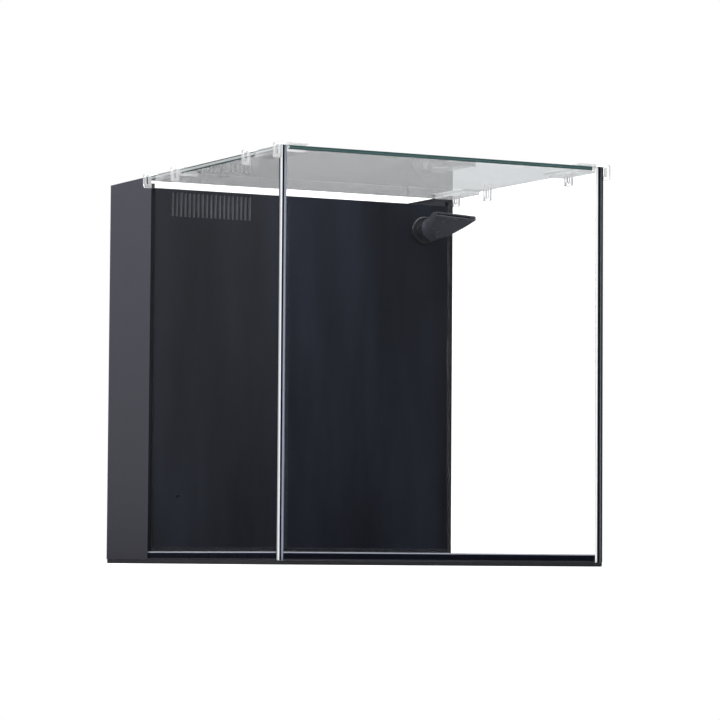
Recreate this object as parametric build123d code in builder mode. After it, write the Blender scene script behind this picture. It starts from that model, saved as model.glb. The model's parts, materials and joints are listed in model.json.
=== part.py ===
# Nano aquarium with a filter chamber behind a black partition: glued glass tank, glass lid on clear
# holders, return nozzle on a ball joint, return pump and lift-out media basket.
# Millimetres, +Z up, the front pane faces -Y, and the origin is the middle of the underside.
from build123d import *
from math import cos, radians, sin
import os

os.makedirs("parts", exist_ok=True)

# Tank
tank_width = 350.0
tank_depth = 400.0
tank_height = 390.0
mat_thickness = 4.0
mat_corner = 1.5
wall_glass = 6.0
floor_glass = 8.0
arris = 0.4
bond = 0.5
film_thickness = 0.2
seam_leg = 4.0
seam_hollow = 0.36
seam_below_rim = 8.0

# Partition with its weir, and the two baffles behind it
chamber_depth = 91.5
partition_thickness = 5.0
partition_below_rim = 12.0
partition_seam_rise = 5.0
slot_count = 19
slot_pitch = 4.8
slot_width = 2.6
slot_height = 24.6
slot_below_top = 3.0
slots_from_left = 64.3
drain_radius = 1.8
drain_from_left = 30.5
drain_height = 55.6
baffle_thickness = 4.0
intake_chamber = 119.0
pump_chamber = 110.0
intake_baffle_lift = 40.0
intake_baffle_below_rim = 20.0
pump_baffle_height = 260.0
baffle_notch_gap = 1.0
baffle_seam_leg = 3.0

# Lid and its clear holders
lid_thickness = 4.0
lid_side_gap = 3.0
lid_front_gap = 1.0
lid_past_partition = 14.5
lid_above_rim = 0.8
lid_corner = 2.0
holder_length = 71.5
holder_front_inset = 0.0
holder_rear_setback = 11.5
holder_arm = 4.5
holder_end_setback = 7.0
holder_reach = 27.0
holder_back_wall = 2.2
holder_flange = 1.3
holder_ledge = 2.2
hook_width = 7.5
hook_drop = 12.5
hook_leg = 2.0
hook_corner = 2.4
hook_glass_gap = 0.5
rim_gap = 0.1
lid_gap = 0.3
holder_wall_gap = 0.4

# Return fitting through the partition, ball joint and flare nozzle
nozzle_from_right = 38.9
nozzle_below_rim = 39.2
gasket_thickness = 1.5
gasket_inset = 0.6
flange_thickness = 3.0
flange_radius = 14.5
flange_edge = 1.2
barrel_radius = 10.4
barrel_tail = 15.0
barrel_bore = 8.08
bore_gap = 0.3
nut_across_flats = 27.0
nut_height = 7.0
collar_across_flats = 19.0
collar_length = 5.4
stub_length = 12.0
neck_radius = 6.0
ball_radius = 9.5
ball_reach = 24.0
ball_bore = 4.8
turn_gap = 0.08
ball_gap = 0.25
socket_radius = 12.5
socket_behind = 4.2
flare_root = 3.0
flare_start = 7.0
nozzle_length = 47.0
mouth_width = 47.0
mouth_height = 4.4
mouth_wall = 1.4
throat_side = 10.0
throat_start = 4.5
nozzle_tilt = 11.0
nozzle_roll = 3.2

# Elbow and riser pipe
elbow_wall = 2.5
elbow_bend = 16.0
elbow_grip = 8.0
riser_radius = 8.0
riser_wall = 2.0
riser_grip = 13.0
pipe_gap = 0.1

# Return pump
motor_length = 58.0
motor_width = 48.0
motor_height = 48.0
motor_corner = 6.0
motor_edge = 1.5
foot_height = 10.0
foot_radius = 9.0
foot_neck = 3.0
foot_spread_x = 36.0
foot_spread_y = 30.0
foot_peg = 3.0
foot_hollow = 2.5
foot_waist = 4.2
foot_waist_height = 5.0
well_radius = 10.3
well_depth = 42.0
rotor_gap = 0.6
rotor_end_gap = 1.2
rotor_length = 36.0
rotor_hub = 5.0
blade_count = 6
blade_radius = 14.0
blade_width = 8.0
blade_thickness = 1.6
blade_root = 2.0
blade_gap = 1.3
shaft_radius = 1.5
bushing_radius = 3.2
bushing_length = 3.0
shaft_gap = 0.05
volute_radius = 20.0
volute_wall = 2.6
volute_depth = 14.0
eye_radius = 7.0
spider_arms = 3
spider_wall = 1.3
outlet_offset = 10.0
outlet_radius = 6.0
outlet_bore = 4.4
outlet_above_motor = 22.0
seal_section = 1.0
screw_inset = 4.2
screw_radius = 1.5
screw_depth = 9.0
screw_head_radius = 2.8
screw_head_height = 1.8
screw_recess = 1.0
screw_drive = 1.4
strainer_radius = 17.0
strainer_wall = 1.8
strainer_length = 14.0
strainer_slots = 14
strainer_slot_width = 2.4
strainer_slot_length = 9.0
window_count = 4
window_radius = 2.0
window_circle = 5.4
dial_radius = 9.0
dial_thickness = 2.4
dial_grip_height = 4.0
dial_grip_width = 2.4
dial_grip_angle = 45.0
dial_hub_radius = 2.5
dial_barb = 0.9
dial_gap = 0.3
rib_count = 7
rib_width = 2.0
rib_depth = 1.2
rib_pitch = 6.0
gland_radius = 5.0
gland_plug_radius = 3.5
gland_plug_depth = 3.0
gland_tip_radius = 3.6
gland_length = 14.0
gland_bore = 2.6

# Media basket
basket_seam_gap = 0.6
basket_lid_gap = 3.0
basket_wall = 2.5
basket_leg = 18.0
basket_leg_side = 9.0
basket_body = 310.0
basket_foot_gap = 0.3
basket_window_height = 42.0
basket_window_bar = 4.0
basket_windows = 3
basket_corner = 3.0
grid_hole = 9.0
grid_pitch = 13.0
grid_columns = 7
grid_rows = 4
shelf_thickness = 3.0
shelf_gap = 0.4
shelf_rail = 2.0
lower_shelf = 100.0
upper_shelf = 205.0
handle_width = 16.0
handle_rise = 26.0
handle_section = 5.0
handle_corner = 6.0
media_gap = 0.6
bio_block_height = 72.0
pouch_height = 70.0
pouch_edge = 8.0
floss_height = 40.0
floss_edge = 3.0

# Places worked out from the sizes above
half_width = tank_width / 2
half_depth = tank_depth / 2
rim = tank_height
floor_top = mat_thickness + floor_glass
wall_height = tank_height - mat_thickness
wall_middle = mat_thickness + wall_height / 2
inner_half_width = half_width - wall_glass
inner_half_depth = half_depth - wall_glass
inner_width = 2 * inner_half_width
inner_depth = 2 * inner_half_depth
partition_rear = inner_half_depth - chamber_depth
partition_front = partition_rear - partition_thickness
partition_top = rim - partition_below_rim
rear_middle = partition_rear + chamber_depth / 2
seam_top = rim - seam_below_rim
partition_seam_top = partition_top + partition_seam_rise
nozzle_x = half_width - nozzle_from_right
nozzle_z = rim - nozzle_below_rim
intake_baffle_x = -inner_half_width + intake_chamber
pump_baffle_x = inner_half_width - pump_chamber - baffle_thickness

# Levelling mat under the tank
with BuildPart() as base_mat:
    with BuildSketch():
        RectangleRounded(tank_width, tank_depth, mat_corner)
    extrude(amount=mat_thickness)
base_mat.part.label = "base_mat"
export_step(base_mat.part, "parts/base_mat.step")

# Bottom pane, standing inside the four walls
with BuildPart() as bottom_pane:
    with BuildSketch(Plane.XY.offset(mat_thickness)):
        Rectangle(inner_width - 2 * bond, inner_depth - 2 * bond)
    extrude(amount=floor_glass)
    chamfer(bottom_pane.edges(), arris)
bottom_pane.part.label = "bottom_pane"
export_step(bottom_pane.part, "parts/bottom_pane.step")

# Front and rear panes cover the ends of the side panes
for end, sign in (("front", 1), ("rear", -1)):
    with BuildPart() as end_pane:
        with BuildSketch(Plane.XZ.offset(sign * half_depth)):
            with Locations((0, wall_middle)):
                Rectangle(tank_width, wall_height)
        extrude(amount=-sign * wall_glass)
        chamfer(end_pane.edges(), arris)
    end_pane.part.label = f"{end}_pane"
    export_step(end_pane.part, f"parts/{end}_pane.step")

for side, sign in (("left", -1), ("right", 1)):
    with BuildPart() as side_pane:
        with BuildSketch(Plane.YZ.offset(sign * half_width)):
            with Locations((0, wall_middle)):
                Rectangle(inner_depth - 2 * bond, wall_height)
        extrude(amount=-sign * wall_glass)
        chamfer(side_pane.edges(), arris)
    side_pane.part.label = f"{side}_pane"
    export_step(side_pane.part, f"parts/{side}_pane.step")

# Silicone films in the joints: at the ends of the side panes, and round the bottom pane
with BuildPart() as pane_bonds:
    with BuildSketch(Plane.XY.offset(mat_thickness)):
        with GridLocations(tank_width - wall_glass, inner_depth - bond, 2, 2):
            Rectangle(wall_glass, bond)
    extrude(amount=wall_height)
    with BuildSketch(Plane.XY.offset(mat_thickness)):
        Rectangle(inner_width, inner_depth)
        Rectangle(inner_width - 2 * bond, inner_depth - 2 * bond, mode=Mode.SUBTRACT)
    extrude(amount=floor_glass)
pane_bonds.part.label = "pane_bonds"
export_step(pane_bonds.part, "parts/pane_bonds.step")


# Each run of a seam is (plane in the corner, leg, length): the plane's x and y lie along the two faces
def upright_run(x, y, direction, leg, bottom, top):
    corner = Plane(origin=(x, y, bottom), x_dir=direction, z_dir=(0, 0, 1))
    return corner, leg, top - bottom


def floor_run(x, y, direction, leg, length):
    inwards = (-direction[1], direction[0], 0)
    return Plane(origin=(x, y, floor_top), x_dir=inwards, z_dir=direction), leg, length


right, back, left, front = (1, 0, 0), (0, 1, 0), (-1, 0, 0), (0, -1, 0)
display_side = partition_front - seam_leg + inner_half_depth
display_runs = [
    upright_run(-inner_half_width, -inner_half_depth, right, seam_leg, floor_top, seam_top),
    upright_run(inner_half_width, -inner_half_depth, back, seam_leg, floor_top, seam_top),
    floor_run(-inner_half_width, -inner_half_depth, right, seam_leg, inner_width),
    floor_run(inner_half_width, -inner_half_depth, back, seam_leg, display_side),
    floor_run(-inner_half_width, partition_front - seam_leg, front, seam_leg, display_side),
]
partition_runs = [
    upright_run(inner_half_width, partition_front, left, seam_leg, floor_top, partition_top),
    upright_run(-inner_half_width, partition_front, front, seam_leg, floor_top, partition_top),
    floor_run(inner_half_width, partition_front, left, seam_leg, inner_width),
]
rear_runs = [
    upright_run(-inner_half_width, partition_rear, right, seam_leg, floor_top, partition_seam_top),
    upright_run(inner_half_width, partition_rear, back, seam_leg, floor_top, partition_seam_top),
    upright_run(inner_half_width, inner_half_depth, left, seam_leg, floor_top, seam_top),
    upright_run(-inner_half_width, inner_half_depth, front, seam_leg, floor_top, seam_top),
    floor_run(-inner_half_width, partition_rear, right, seam_leg, inner_width),
    floor_run(inner_half_width, partition_rear, back, seam_leg, chamber_depth),
    floor_run(inner_half_width, inner_half_depth, left, seam_leg, inner_width),
    floor_run(-inner_half_width, inner_half_depth, front, seam_leg, chamber_depth),
]
intake_baffle_bottom = floor_top + intake_baffle_lift
intake_baffle_top = rim - intake_baffle_below_rim
baffle_notch = seam_leg + baffle_notch_gap
pump_baffle_bottom = floor_top + baffle_notch
pump_baffle_top = floor_top + pump_baffle_height
baffle_runs = []
for x, bottom, top in (
    (intake_baffle_x, intake_baffle_bottom, intake_baffle_top),
    (pump_baffle_x, pump_baffle_bottom, pump_baffle_top),
):
    baffle_runs.append(upright_run(x, inner_half_depth, left, baffle_seam_leg, bottom, top))
    far_side = x + baffle_thickness
    baffle_runs.append(upright_run(far_side, inner_half_depth, front, baffle_seam_leg, bottom, top))

for name, runs in (
    ("display_seams", display_runs),
    ("partition_seams", partition_runs),
    ("rear_seams", rear_runs),
    ("baffle_seams", baffle_runs),
):
    with BuildPart() as seams:
        for corner, leg, length in runs:
            hollow = leg * seam_hollow
            with BuildSketch(corner):
                with BuildLine():
                    Line((0, 0), (leg, 0))
                    ThreePointArc((leg, 0), (hollow, hollow), (0, leg))
                    Line((0, leg), (0, 0))
                make_face()
            extrude(amount=length)
    seams.part.label = name
    export_step(seams.part, f"parts/{name}.step")

# Black partition with the comb of weir slots, the return fitting's bore and a small drain hole
slot_z = partition_top - slot_below_top - slot_height / 2
with BuildPart() as weir_partition:
    with BuildSketch(Plane.XZ.offset(-partition_front)):
        with Locations((0, (floor_top + partition_top) / 2)):
            Rectangle(inner_width, partition_top - floor_top)
        with Locations((-inner_half_width + slots_from_left, slot_z)):
            with GridLocations(slot_pitch, 0, slot_count, 1):
                Rectangle(slot_width, slot_height, mode=Mode.SUBTRACT)
        with Locations((nozzle_x, nozzle_z)):
            Circle(barrel_radius + bore_gap, mode=Mode.SUBTRACT)
        with Locations((-inner_half_width + drain_from_left, floor_top + drain_height)):
            Circle(drain_radius, mode=Mode.SUBTRACT)
    extrude(amount=-partition_thickness)
weir_partition.part.label = "weir_partition"
export_step(weir_partition.part, "parts/weir_partition.step")

# Intake baffle: water passes under it
with BuildPart() as intake_baffle:
    with BuildSketch(Plane.YZ.offset(intake_baffle_x)):
        with Locations((rear_middle, (intake_baffle_bottom + intake_baffle_top) / 2)):
            Rectangle(chamber_depth, intake_baffle_top - intake_baffle_bottom)
    extrude(amount=baffle_thickness)
intake_baffle.part.label = "intake_baffle"
export_step(intake_baffle.part, "parts/intake_baffle.step")

# Pump baffle: water falls over it, and its lower corners are cut to clear the floor seams
with BuildPart() as pump_baffle:
    with BuildSketch(Plane.YZ.offset(pump_baffle_x)) as pump_baffle_outline:
        with Locations((rear_middle, floor_top + pump_baffle_height / 2)):
            Rectangle(chamber_depth, pump_baffle_height)
        chamfer(pump_baffle_outline.vertices().group_by(Axis.Y)[0], baffle_notch)
    extrude(amount=baffle_thickness)
pump_baffle.part.label = "pump_baffle"
export_step(pump_baffle.part, "parts/pump_baffle.step")

# Black film on the outside of the glass round the filter chamber
for side, sign in (("left", -1), ("right", 1)):
    with BuildPart() as side_film:
        with BuildSketch(Plane.YZ.offset(sign * half_width)):
            with Locations(((partition_front + half_depth) / 2, wall_middle)):
                Rectangle(half_depth - partition_front, wall_height)
        extrude(amount=sign * film_thickness)
    side_film.part.label = f"{side}_film"
    export_step(side_film.part, f"parts/{side}_film.step")

with BuildPart() as rear_film:
    with BuildSketch(Plane.XZ.offset(-half_depth)):
        with Locations((0, wall_middle)):
            Rectangle(tank_width, wall_height)
    extrude(amount=-film_thickness)
rear_film.part.label = "rear_film"
export_step(rear_film.part, "parts/rear_film.step")

# Lid: one sheet with ground edges, lying between the side panes
lid_top = rim + lid_above_rim
lid_bottom = lid_top - lid_thickness
lid_front = -inner_half_depth + lid_front_gap
lid_rear = partition_front + lid_past_partition
lid_half_width = inner_half_width - lid_side_gap
with BuildPart() as lid_glass:
    with BuildSketch(Plane.XY.offset(lid_bottom)):
        with Locations((0, (lid_front + lid_rear) / 2)):
            RectangleRounded(2 * lid_half_width, lid_rear - lid_front, lid_corner)
    extrude(amount=lid_thickness)
    chamfer(lid_glass.edges().group_by(Axis.Z)[0] + lid_glass.edges().group_by(Axis.Z)[-1], arris)
lid_glass.part.label = "lid_glass"
export_step(lid_glass.part, "parts/lid_glass.step")

# Clear lid holders: two hairpin hooks over the rim, and between them a channel for the lid's edge.
# All four are one moulding, drawn from the pane's outer face inwards and from the rim upwards.
flange_under = lid_above_rim + lid_gap
flange_top = flange_under + holder_flange
ledge_over = lid_above_rim - lid_thickness - lid_gap
ledge_under = ledge_over - holder_ledge
back_outer = wall_glass + holder_wall_gap
back_inner = back_outer + holder_back_wall
hook_outer = -hook_glass_gap - hook_width
channel_length = holder_length - 2 * holder_end_setback
slit_middle = -hook_glass_gap - hook_width / 2
slit_height = hook_drop - 2 * hook_leg + holder_flange
front_holder_y = -half_depth + holder_front_inset + holder_length / 2
rear_holder_y = lid_rear - holder_rear_setback - holder_length / 2
for end, holder_y in (("front", front_holder_y), ("rear", rear_holder_y)):
    for side, sign in (("left", -1), ("right", 1)):
        middle = Plane(origin=(sign * half_width, holder_y, rim), x_dir=(-sign, 0, 0), z_dir=(0, sign, 0))
        with BuildPart() as lid_holder:
            with BuildSketch(middle):
                with BuildLine():
                    Polyline(
                        (back_outer, ledge_under),
                        (holder_reach, ledge_under),
                        (holder_reach, ledge_over),
                        (back_inner, ledge_over),
                        (back_inner, flange_top),
                        (back_outer, flange_top),
                        close=True,
                    )
                make_face()
            extrude(amount=channel_length / 2, both=True)
            with BuildSketch(middle):
                with Locations(((back_outer + holder_reach) / 2, (flange_under + flange_top) / 2)):
                    Rectangle(holder_reach - back_outer, holder_flange)
            extrude(amount=holder_length / 2, both=True)
            for end_sign in (-1, 1):
                with BuildSketch(middle.offset(end_sign * (holder_length - holder_arm) / 2)) as hook:
                    with BuildLine():
                        Polyline(
                            (hook_outer, -hook_drop),
                            (-hook_glass_gap, -hook_drop),
                            (-hook_glass_gap, rim_gap),
                            (back_inner, rim_gap),
                            (back_inner, flange_top),
                            (hook_outer, flange_top),
                            close=True,
                        )
                    make_face()
                    fillet(hook.vertices().group_by(Axis.X)[0], hook_corner)
                    with Locations((slit_middle, flange_top - hook_leg - slit_height / 2)):
                        SlotOverall(slit_height, hook_width - 2 * hook_leg, rotation=90, mode=Mode.SUBTRACT)
                extrude(amount=holder_arm / 2, both=True)
        lid_holder.part.label = f"lid_holder_{end}_{side}"
        export_step(lid_holder.part, f"parts/lid_holder_{end}_{side}.step")

# Return fitting, drawn as a section: x is the distance in front of the partition, y the radius
section = Plane(origin=(nozzle_x, partition_front, nozzle_z), x_dir=(0, -1, 0), z_dir=(-1, 0, 0))
fitting_axis = Axis((nozzle_x, partition_front, nozzle_z), (0, -1, 0))
flange_back = gasket_thickness
flange_front = flange_back + flange_thickness
barrel_end = -partition_thickness - barrel_tail

with BuildPart() as bulkhead_gasket:
    with BuildSketch(Plane.XZ.offset(-partition_front)):
        with Locations((nozzle_x, nozzle_z)):
            Circle(flange_radius - gasket_inset)
            Circle(barrel_radius + pipe_gap, mode=Mode.SUBTRACT)
    extrude(amount=gasket_thickness)
bulkhead_gasket.part.label = "bulkhead_gasket"
export_step(bulkhead_gasket.part, "parts/bulkhead_gasket.step")

with BuildPart() as bulkhead:
    with BuildSketch(section) as bulkhead_section:
        with BuildLine():
            Polyline(
                (barrel_end, barrel_bore),
                (barrel_end, barrel_radius),
                (flange_back, barrel_radius),
                (flange_back, flange_radius),
                (flange_front, flange_radius),
                (flange_front, barrel_bore),
                close=True,
            )
        make_face()
        rim_corner = bulkhead_section.vertices().group_by(Axis.Y)[-1].sort_by(Axis.X)[-1]
        chamfer(rim_corner, flange_edge)
    revolve(axis=fitting_axis)
bulkhead.part.label = "bulkhead"
export_step(bulkhead.part, "parts/bulkhead.step")

with BuildPart() as bulkhead_nut:
    with BuildSketch(Plane.XZ.offset(-partition_rear)):
        with Locations((nozzle_x, nozzle_z)):
            RegularPolygon(nut_across_flats / 2, 6, major_radius=False)
            Circle(barrel_radius + pipe_gap, mode=Mode.SUBTRACT)
    extrude(amount=-nut_height)
bulkhead_nut.part.label = "bulkhead_nut"
export_step(bulkhead_nut.part, "parts/bulkhead_nut.step")

# Ball connector: stub in the bulkhead, hexagonal collar, neck and ball, bored through
collar_back = flange_front + pipe_gap
with BuildPart() as ball_connector:
    with BuildSketch(section):
        with Locations(((flange_front - stub_length + ball_reach) / 2, neck_radius / 2)):
            Rectangle(ball_reach - flange_front + stub_length, neck_radius)
        with Locations((collar_back - stub_length / 2, (barrel_bore - turn_gap) / 2)):
            Rectangle(stub_length, barrel_bore - turn_gap)
    revolve(axis=fitting_axis)
    with BuildSketch(Plane.XZ.offset(-partition_front + collar_back)):
        with Locations((nozzle_x, nozzle_z)):
            RegularPolygon(collar_across_flats / 2, 6, major_radius=False)
    extrude(amount=collar_length)
    with Locations((nozzle_x, partition_front - ball_reach, nozzle_z)):
        Sphere(ball_radius)
    with BuildSketch(Plane.XZ.offset(-partition_rear)):
        with Locations((nozzle_x, nozzle_z)):
            Circle(ball_bore)
    extrude(amount=partition_thickness + ball_reach + 2 * ball_radius, mode=Mode.SUBTRACT)
ball_connector.part.label = "ball_connector"
export_step(ball_connector.part, "parts/ball_connector.step")

# Flare nozzle: a round socket snapped over the ball. Its round sides lean outwards, and two flats
# close in on them to leave a wide slot.
tilt = radians(nozzle_tilt)
roll = radians(nozzle_roll)
nozzle_axis = Vector(0, -cos(tilt), sin(tilt))
ball_centre = Vector(nozzle_x, partition_front - ball_reach, nozzle_z)
across = Vector(cos(roll), -sin(roll) * sin(tilt), -sin(roll) * cos(tilt))
ball_plane = Plane(origin=ball_centre, x_dir=across, z_dir=nozzle_axis)
side_view = Plane(origin=ball_centre, x_dir=nozzle_axis, z_dir=across)
plan_view = Plane(origin=ball_centre, x_dir=nozzle_axis, z_dir=ball_plane.y_dir)
flare_length = nozzle_length - flare_root
flare_spread = mouth_width / 2 - socket_radius
closing = (socket_radius - mouth_height / 2) / (nozzle_length - flare_start)
root_height = socket_radius + closing * (flare_start - flare_root)
wedge = [
    (flare_root, root_height),
    (nozzle_length, mouth_height / 2),
    (nozzle_length, -mouth_height / 2),
    (flare_root, -root_height),
]
with BuildPart() as flare_nozzle:
    with BuildSketch(side_view):
        Polygon(*wedge, align=None)
    extrude(amount=mouth_width / 2, both=True)
    with BuildSketch(plan_view):
        Polygon((flare_root, 0), (nozzle_length, flare_spread), (nozzle_length, -flare_spread), align=None)
    extrude(amount=2 * socket_radius, both=True, mode=Mode.INTERSECT)
    for lean in (-flare_spread / flare_length, flare_spread / flare_length):
        with BuildPart():
            with BuildSketch(ball_plane.offset(flare_root)):
                Circle(socket_radius)
            extrude(amount=2 * flare_length, dir=nozzle_axis + across * lean)
            with BuildSketch(side_view):
                Polygon(*wedge, align=None)
            extrude(amount=mouth_width, both=True, mode=Mode.INTERSECT)
    with BuildSketch(ball_plane.offset(-socket_behind)):
        Circle(socket_radius)
    extrude(amount=socket_behind + flare_start)
    with BuildSketch(ball_plane.offset(throat_start)):
        Rectangle(throat_side, throat_side)
    with BuildSketch(ball_plane.offset(nozzle_length)):
        Rectangle(mouth_width - 2 * mouth_wall, mouth_height - 2 * mouth_wall)
    loft(mode=Mode.SUBTRACT)
    with Locations(ball_plane):
        Sphere(ball_radius + ball_gap, mode=Mode.SUBTRACT)
flare_nozzle.part.label = "flare_nozzle"
export_step(flare_nozzle.part, "parts/flare_nozzle.step")

# Mitred elbow behind the partition: a socket over the barrel, a square turn, a socket over the riser
elbow_start = partition_front - barrel_end
riser_y = elbow_start + elbow_wall + elbow_bend
barrel_socket = barrel_radius + pipe_gap
riser_socket = riser_radius + pipe_gap
elbow_radius = riser_socket + elbow_wall
elbow_bore = riser_radius - riser_wall
riser_top = nozzle_z - elbow_bend - elbow_wall
elbow_bottom = riser_top - riser_grip
mitre = Plane(origin=(nozzle_x, riser_y, nozzle_z), x_dir=(1, 0, 0), z_dir=(0, 1, -1))
with BuildPart() as return_elbow:
    with BuildSketch(Plane.XZ.offset(-elbow_start)):
        with Locations((nozzle_x, nozzle_z)):
            Circle(elbow_radius)
    extrude(amount=elbow_start - riser_y - elbow_radius)
    split(bisect_by=mitre, keep=Keep.BOTTOM)
    with BuildPart():
        with BuildSketch(Plane.XY.offset(elbow_bottom)):
            with Locations((nozzle_x, riser_y)):
                Circle(elbow_radius)
        extrude(amount=nozzle_z + elbow_radius - elbow_bottom)
        split(bisect_by=mitre, keep=Keep.TOP)
    with BuildSketch(Plane.XZ.offset(-elbow_start - elbow_wall)):
        with Locations((nozzle_x, nozzle_z)):
            Circle(barrel_socket + elbow_wall)
    extrude(amount=elbow_wall + elbow_grip)
    with BuildSketch(Plane.XZ.offset(-elbow_start)):
        with Locations((nozzle_x, nozzle_z)):
            Circle(barrel_socket)
    extrude(amount=elbow_grip, mode=Mode.SUBTRACT)
    with BuildSketch(Plane.XZ.offset(-elbow_start)):
        with Locations((nozzle_x, nozzle_z)):
            Circle(elbow_bore)
    extrude(amount=elbow_start - riser_y, mode=Mode.SUBTRACT)
    with BuildSketch(Plane.XY.offset(riser_top)):
        with Locations((nozzle_x, riser_y)):
            Circle(elbow_bore)
    extrude(amount=nozzle_z + elbow_bore - riser_top, mode=Mode.SUBTRACT)
    with BuildSketch(Plane.XY.offset(riser_top)):
        with Locations((nozzle_x, riser_y)):
            Circle(riser_socket)
    extrude(amount=-riser_grip, mode=Mode.SUBTRACT)
return_elbow.part.label = "return_elbow"
export_step(return_elbow.part, "parts/return_elbow.step")

# Pump: its shaft lies along X, with the volute under the riser and the motor beside it
shaft_y = riser_y + outlet_offset
shaft_z = floor_top + foot_height + motor_height / 2
motor_end = nozzle_x - volute_depth / 2
motor_start = motor_end - motor_length
motor_top = shaft_z + motor_height / 2
outlet_top = motor_top + outlet_above_motor
pump_face = Plane(origin=(motor_end, shaft_y, shaft_z), x_dir=(0, 1, 0), z_dir=(1, 0, 0))
gland_x = motor_start + gland_radius + motor_corner
screw_spread_y = motor_width - 2 * screw_inset
screw_spread_z = motor_height - 2 * screw_inset

with BuildPart() as riser_pipe:
    with BuildSketch(Plane.XY.offset(riser_top)):
        with Locations((nozzle_x, riser_y)):
            Circle(riser_radius)
            Circle(riser_radius - riser_wall, mode=Mode.SUBTRACT)
    extrude(amount=outlet_top - riser_grip - riser_top)
    with BuildSketch(Plane.XY.offset(outlet_top)):
        with Locations((nozzle_x, riser_y)):
            Circle(outlet_radius + pipe_gap)
    extrude(amount=-riser_grip, mode=Mode.SUBTRACT)
riser_pipe.part.label = "riser_pipe"
export_step(riser_pipe.part, "parts/riser_pipe.step")

with BuildPart() as pump_housing:
    with BuildSketch(pump_face):
        RectangleRounded(motor_width, motor_height, motor_corner)
    extrude(amount=-motor_length)
    chamfer(pump_housing.edges().group_by(Axis.X)[0], motor_edge)
    with BuildSketch(Plane.XY.offset(motor_top)):
        with Locations(((motor_start + motor_end) / 2, shaft_y)):
            with GridLocations(rib_pitch, 0, rib_count, 1):
                Rectangle(rib_width, motor_width - 2 * motor_corner)
    extrude(amount=-rib_depth, mode=Mode.SUBTRACT)
    with BuildSketch(pump_face):
        Circle(well_radius)
    extrude(amount=-well_depth, mode=Mode.SUBTRACT)
    with BuildSketch(pump_face.offset(-well_depth)):
        Circle(bushing_radius)
    extrude(amount=-bushing_length, mode=Mode.SUBTRACT)
    with BuildSketch(Plane.XY.offset(motor_top - motor_height)):
        with Locations(((motor_start + motor_end) / 2, shaft_y)):
            with GridLocations(foot_spread_x, foot_spread_y, 2, 2):
                Circle(foot_neck + pipe_gap)
    extrude(amount=foot_peg, mode=Mode.SUBTRACT)
    with BuildSketch(Plane.XY.offset(motor_top)):
        with Locations((gland_x, shaft_y)):
            Circle(gland_plug_radius + pipe_gap)
    extrude(amount=-gland_plug_depth, mode=Mode.SUBTRACT)
    with BuildSketch(pump_face):
        with GridLocations(screw_spread_y, screw_spread_z, 2, 2):
            Circle(screw_radius)
    extrude(amount=-screw_depth, mode=Mode.SUBTRACT)
pump_housing.part.label = "pump_housing"
export_step(pump_housing.part, "parts/pump_housing.step")

# Suction feet: a flared cup with a neck pushed into the housing
with BuildPart() as suction_feet:
    for foot_x in (-foot_spread_x / 2, foot_spread_x / 2):
        for foot_y in (-foot_spread_y / 2, foot_spread_y / 2):
            centre_x = (motor_start + motor_end) / 2 + foot_x
            centre_y = shaft_y + foot_y
            foot_section = Plane(origin=(centre_x, centre_y, floor_top), x_dir=(1, 0, 0), z_dir=(0, -1, 0))
            with BuildSketch(foot_section):
                with BuildLine():
                    Polyline(
                        (0, foot_hollow),
                        (foot_radius, 0),
                        (foot_waist, foot_waist_height),
                        (foot_waist, foot_height),
                        (foot_neck, foot_height),
                        (foot_neck, foot_height + foot_peg),
                        (0, foot_height + foot_peg),
                        close=True,
                    )
                make_face()
            revolve(axis=Axis((centre_x, centre_y, floor_top), (0, 0, 1)))
suction_feet.part.label = "suction_feet"
export_step(suction_feet.part, "parts/suction_feet.step")

# Impeller: magnet rotor in the well and blades in the volute, on a ceramic shaft
rotor_back = motor_end - well_depth + rotor_end_gap
blade_back = motor_end + blade_gap
with BuildPart() as pump_impeller:
    with BuildSketch(Plane.YZ.offset(rotor_back)):
        with Locations((shaft_y, shaft_z)):
            Circle(well_radius - rotor_gap)
    extrude(amount=rotor_length)
    with BuildSketch(Plane.YZ.offset(rotor_back)):
        with Locations((shaft_y, shaft_z)):
            Circle(rotor_hub)
    extrude(amount=blade_back + blade_width - rotor_back)
    with BuildSketch(Plane.YZ.offset(blade_back)):
        with Locations((shaft_y, shaft_z)):
            with PolarLocations((rotor_hub - blade_root + blade_radius) / 2, blade_count):
                Rectangle(blade_radius - rotor_hub + blade_root, blade_thickness)
    extrude(amount=blade_width)
    with BuildSketch(Plane.YZ.offset(rotor_back)):
        with Locations((shaft_y, shaft_z)):
            Circle(shaft_radius + shaft_gap)
    extrude(amount=well_depth + volute_depth, mode=Mode.SUBTRACT)
pump_impeller.part.label = "pump_impeller"
export_step(pump_impeller.part, "parts/pump_impeller.step")

shaft_start = motor_end - well_depth - bushing_length
shaft_end = motor_end + volute_depth
with BuildPart() as impeller_shaft:
    with BuildSketch(Plane.YZ.offset(shaft_start)):
        with Locations((shaft_y, shaft_z)):
            Circle(shaft_radius)
    extrude(amount=shaft_end - shaft_start)
impeller_shaft.part.label = "impeller_shaft"
export_step(impeller_shaft.part, "parts/impeller_shaft.step")

with BuildPart() as shaft_bushings:
    for bushing_x in (shaft_start, shaft_end - bushing_length):
        with BuildSketch(Plane.YZ.offset(bushing_x)):
            with Locations((shaft_y, shaft_z)):
                Circle(bushing_radius)
                Circle(shaft_radius, mode=Mode.SUBTRACT)
        extrude(amount=bushing_length)
shaft_bushings.part.label = "shaft_bushings"
export_step(shaft_bushings.part, "parts/shaft_bushings.step")

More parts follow.
